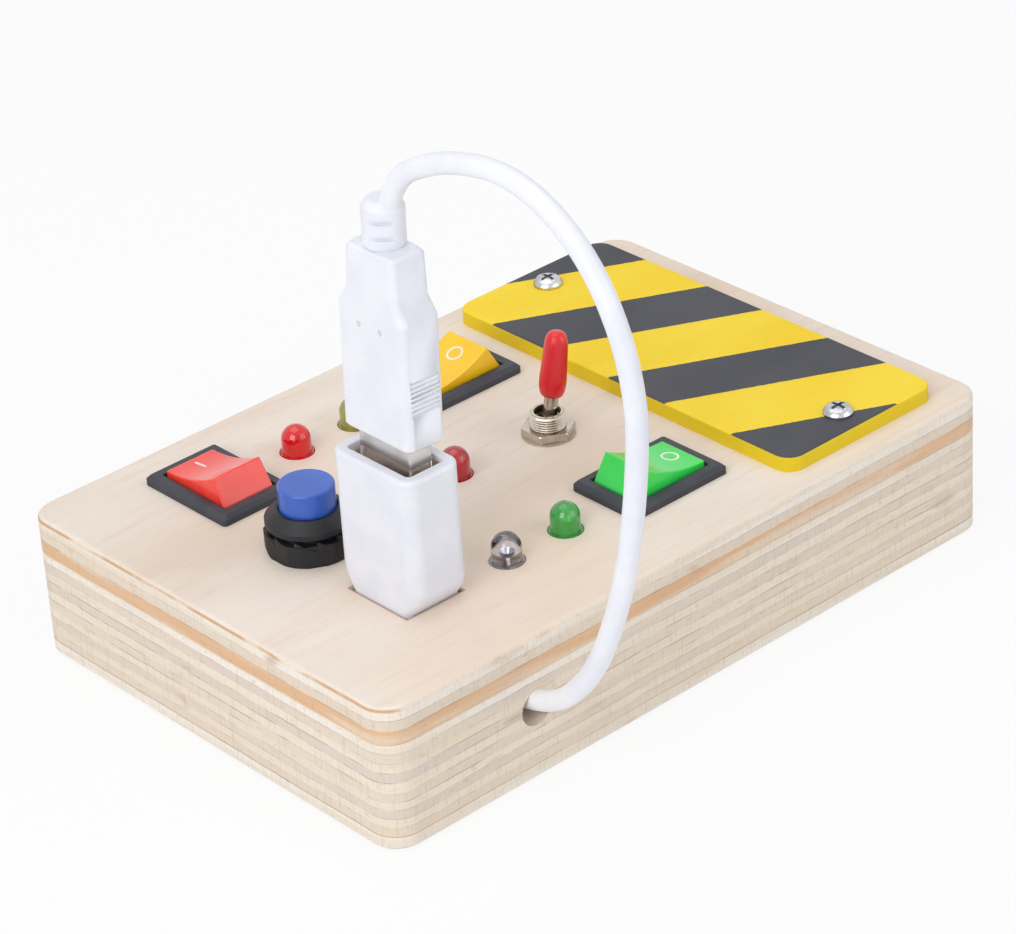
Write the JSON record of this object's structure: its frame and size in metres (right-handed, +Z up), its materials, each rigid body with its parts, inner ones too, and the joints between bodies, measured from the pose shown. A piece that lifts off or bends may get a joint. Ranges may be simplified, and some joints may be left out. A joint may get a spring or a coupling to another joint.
{
  "type": "switch busy board",
  "caption": "Wooden box with rocker, toggle and push switches, indicator lamps, a plug on a lead in its socket and a striped battery cover.",
  "frame": {"origin": "middle of the base on the table, without the plug and its lead", "axes": "+X along the long side towards the striped cover, +Y towards the back, +Z up"},
  "size_m": [0.134, 0.1185, 0.1073],
  "materials": {
    "plywood": "sanded",
    "striped_board": "painted stripes",
    "zinc_screw": "zinc plated",
    "black_plastic": "fine texture",
    "cell_sleeve": "printed sleeve",
    "nickel": "nickel plated",
    "brass": "plain",
    "red_plastic": "glossy",
    "yellow_plastic": "glossy",
    "green_plastic": "glossy",
    "blue_plastic": "satin",
    "red_vinyl": "soft vinyl",
    "white_plastic": "smooth",
    "cable_jacket": "smooth",
    "lamp_red": "clear epoxy",
    "lamp_yellow": "clear epoxy",
    "lamp_blue": "clear epoxy",
    "lamp_clear": "clear epoxy",
    "lamp_green": "clear epoxy"
  },
  "bodies": {
    "board": {"top_panel": "plywood", "body_frame": "plywood", "bottom_cover": "plywood", "hazard_plate": "striped_board", "cover_screw_1": "zinc_screw", "cover_screw_2": "zinc_screw", "cover_screw_3": "zinc_screw", "cover_screw_4": "zinc_screw", "plate_screw_1": "zinc_screw", "plate_screw_2": "zinc_screw", "battery_tray": "black_plastic", "red_rocker_housing": "black_plastic", "yellow_rocker_housing": "black_plastic", "green_rocker_housing": "black_plastic", "button_barrel": "black_plastic", "button_nut": "black_plastic", "toggle_body": "black_plastic", "cable_stop": "black_plastic", "battery_cell_1": "cell_sleeve", "battery_cell_2": "cell_sleeve", "battery_contact_1": "nickel", "battery_contact_2": "nickel", "toggle_bush": "nickel", "toggle_washer": "nickel", "toggle_nut": "nickel", "usb_socket_liner": "nickel", "red_rocker_terminal_1": "brass", "red_rocker_terminal_2": "brass", "yellow_rocker_terminal_1": "brass", "yellow_rocker_terminal_2": "brass", "green_rocker_terminal_1": "brass", "green_rocker_terminal_2": "brass", "toggle_terminal_1": "brass", "toggle_terminal_2": "brass", "button_terminal_1": "brass", "button_terminal_2": "brass", "usb_socket_housing": "white_plastic", "usb_socket_tongue": "white_plastic", "lamp_red": "lamp_red", "lamp_yellow": "lamp_yellow", "lamp_red_clear": "lamp_red", "lamp_blue": "lamp_blue", "lamp_clear": "lamp_clear", "lamp_green": "lamp_green"},
    "red_rocker": {"red_rocker_paddle": "red_plastic"},
    "yellow_rocker": {"yellow_rocker_paddle": "yellow_plastic"},
    "green_rocker": {"green_rocker_paddle": "green_plastic"},
    "toggle": {"toggle_lever": "nickel", "toggle_sleeve": "red_vinyl"},
    "push_button": {"button_cap": "blue_plastic"},
    "plug": {"usb_plug_body": "white_plastic", "usb_plug_sleeve": "white_plastic", "usb_plug_shell": "nickel", "usb_plug_insert": "white_plastic", "usb_cable": "cable_jacket"}
  },
  "joints": [
    {"name": "red_rocker_hinge", "type": "hinge", "parent": "board", "child": "red_rocker", "pos_m": [-0.0407, 0.0265, 0.025], "axis": [1, 0, 0], "range_deg": [0, 30.4]},
    {"name": "yellow_rocker_hinge", "type": "hinge", "parent": "board", "child": "yellow_rocker", "pos_m": [0.0091, 0.026, 0.025], "axis": [0, 1, 0], "range_deg": [0, 30.4]},
    {"name": "green_rocker_hinge", "type": "hinge", "parent": "board", "child": "green_rocker", "pos_m": [0.0081, -0.0246, 0.025], "axis": [0, -1, 0], "range_deg": [0, 30.4]},
    {"name": "toggle_hinge", "type": "hinge", "parent": "board", "child": "toggle", "pos_m": [0.0079, -0.0006, 0.0262], "axis": [0, 1, 0], "range_deg": [-21, 0]},
    {"name": "button_slide", "type": "slide", "parent": "board", "child": "push_button", "axis": [0, 0, -1], "range_m": [0, 0.002], "stiffness_N_per_m": 250, "springref_m": -0.001},
    {"name": "plug_slide", "type": "slide", "parent": "board", "child": "plug", "axis": [0.0332, 0, 0.9995], "range_m": [-0.003, 0.012], "deforming": ["usb_cable"]}
  ]
}
